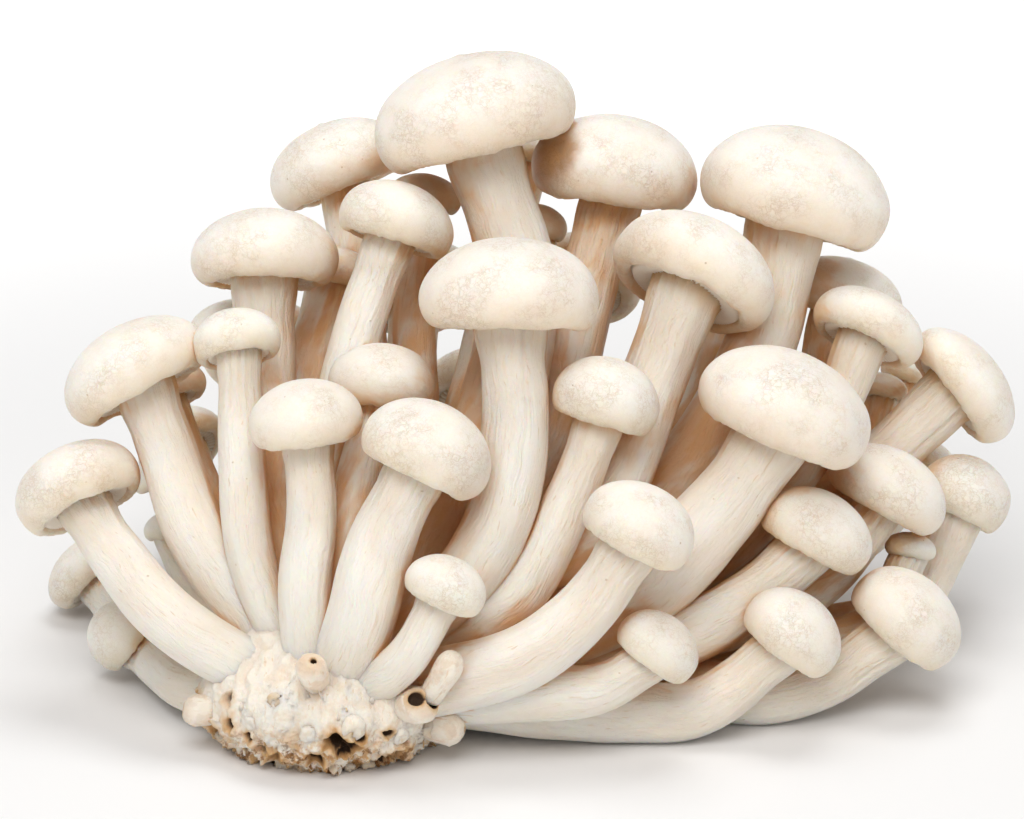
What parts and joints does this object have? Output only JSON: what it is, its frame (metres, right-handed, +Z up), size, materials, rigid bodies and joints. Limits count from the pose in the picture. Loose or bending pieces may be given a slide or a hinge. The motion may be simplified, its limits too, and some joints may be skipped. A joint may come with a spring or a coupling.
{
  "type": "white beech mushroom cluster",
  "caption": "Cluster of white beech mushrooms with domed caps on curved stems that fan out of one root base, lying on a table as picked.",
  "frame": {"origin": "bottom centre of the cluster's bounding box, on the table it rests on", "axes": "+X to the right across the fan of stems as seen from the front, +Y towards the back of the fan, +Z up"},
  "size_m": [0.1204, 0.087, 0.0721],
  "materials": {
    "mushroom_flesh": "smooth off-white skin with a slight sheen",
    "root_flesh": "rough cream flesh with brown bits of growing medium"
  },
  "bodies": {
    "root": {"root_base": "root_flesh", "front_mushroom_1": "mushroom_flesh", "front_mushroom_2": "mushroom_flesh", "front_mushroom_3": "mushroom_flesh", "front_mushroom_4": "mushroom_flesh", "front_mushroom_5": "mushroom_flesh", "front_mushroom_6": "mushroom_flesh", "front_bud_1": "mushroom_flesh", "front_bud_2": "mushroom_flesh", "front_bud_3": "mushroom_flesh", "front_bud_4": "mushroom_flesh", "front_bud_5": "mushroom_flesh", "left_mushroom_1": "mushroom_flesh", "left_mushroom_2": "mushroom_flesh", "left_mushroom_3": "mushroom_flesh", "left_mushroom_4": "mushroom_flesh", "left_mushroom_5": "mushroom_flesh", "left_mushroom_6": "mushroom_flesh", "right_mushroom_1": "mushroom_flesh", "right_mushroom_2": "mushroom_flesh", "right_mushroom_3": "mushroom_flesh", "right_mushroom_4": "mushroom_flesh", "right_mushroom_5": "mushroom_flesh", "right_mushroom_6": "mushroom_flesh", "right_mushroom_7": "mushroom_flesh", "right_mushroom_8": "mushroom_flesh", "right_mushroom_9": "mushroom_flesh", "crown_mushroom_1": "mushroom_flesh", "crown_mushroom_2": "mushroom_flesh", "crown_mushroom_3": "mushroom_flesh", "crown_mushroom_4": "mushroom_flesh", "crown_mushroom_5": "mushroom_flesh", "crown_mushroom_6": "mushroom_flesh", "crown_mushroom_7": "mushroom_flesh", "crown_mushroom_8": "mushroom_flesh", "middle_mushroom_1": "mushroom_flesh", "middle_mushroom_2": "mushroom_flesh", "middle_mushroom_3": "mushroom_flesh", "middle_mushroom_4": "mushroom_flesh", "middle_mushroom_5": "mushroom_flesh", "middle_mushroom_6": "mushroom_flesh", "middle_mushroom_7": "mushroom_flesh", "middle_mushroom_8": "mushroom_flesh", "middle_mushroom_9": "mushroom_flesh", "middle_mushroom_10": "mushroom_flesh", "middle_mushroom_11": "mushroom_flesh", "middle_mushroom_12": "mushroom_flesh", "rear_mushroom_1": "mushroom_flesh", "rear_mushroom_2": "mushroom_flesh", "rear_mushroom_3": "mushroom_flesh", "rear_mushroom_4": "mushroom_flesh", "rear_mushroom_5": "mushroom_flesh", "rear_mushroom_6": "mushroom_flesh", "rear_mushroom_7": "mushroom_flesh", "rear_mushroom_8": "mushroom_flesh", "rear_mushroom_9": "mushroom_flesh", "rear_mushroom_10": "mushroom_flesh", "rear_mushroom_11": "mushroom_flesh", "rear_mushroom_12": "mushroom_flesh", "rear_mushroom_13": "mushroom_flesh"}
  },
  "joints": []
}
